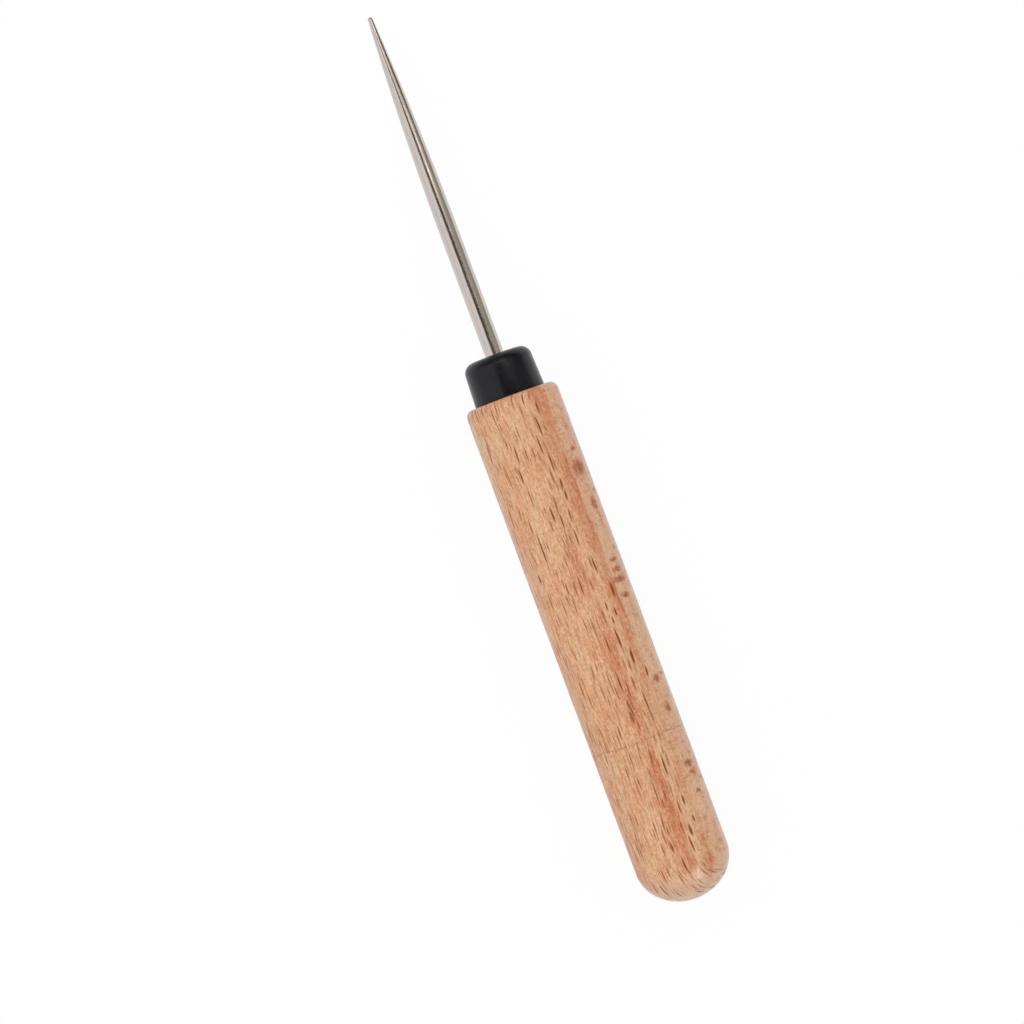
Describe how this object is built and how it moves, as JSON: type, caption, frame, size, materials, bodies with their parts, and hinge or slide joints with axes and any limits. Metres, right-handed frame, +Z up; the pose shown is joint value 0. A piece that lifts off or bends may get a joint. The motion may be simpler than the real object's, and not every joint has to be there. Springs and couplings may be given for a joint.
{
  "type": "leather awl",
  "caption": "Leather awl with a straight round wooden handle, a black moulded collar and a long round steel blade ground to a slender point.",
  "frame": {"origin": "on the bench, under the middle of the awl's overall length, as it lies on its side", "axes": "+X along the awl, from the butt of the handle towards the point; +Z up from the bench; Y across"},
  "size_m": [0.1454, 0.015, 0.015],
  "materials": {
    "beech": "sanded smooth, satin, with short brown flecks along the grain",
    "black_plastic": "moulded, soft gloss",
    "nickelled_steel": "nickel plated, polished, with fine lengthwise grinding marks"
  },
  "bodies": {
    "root": {"handle": "beech", "collar": "black_plastic", "blade": "nickelled_steel"}
  },
  "joints": []
}
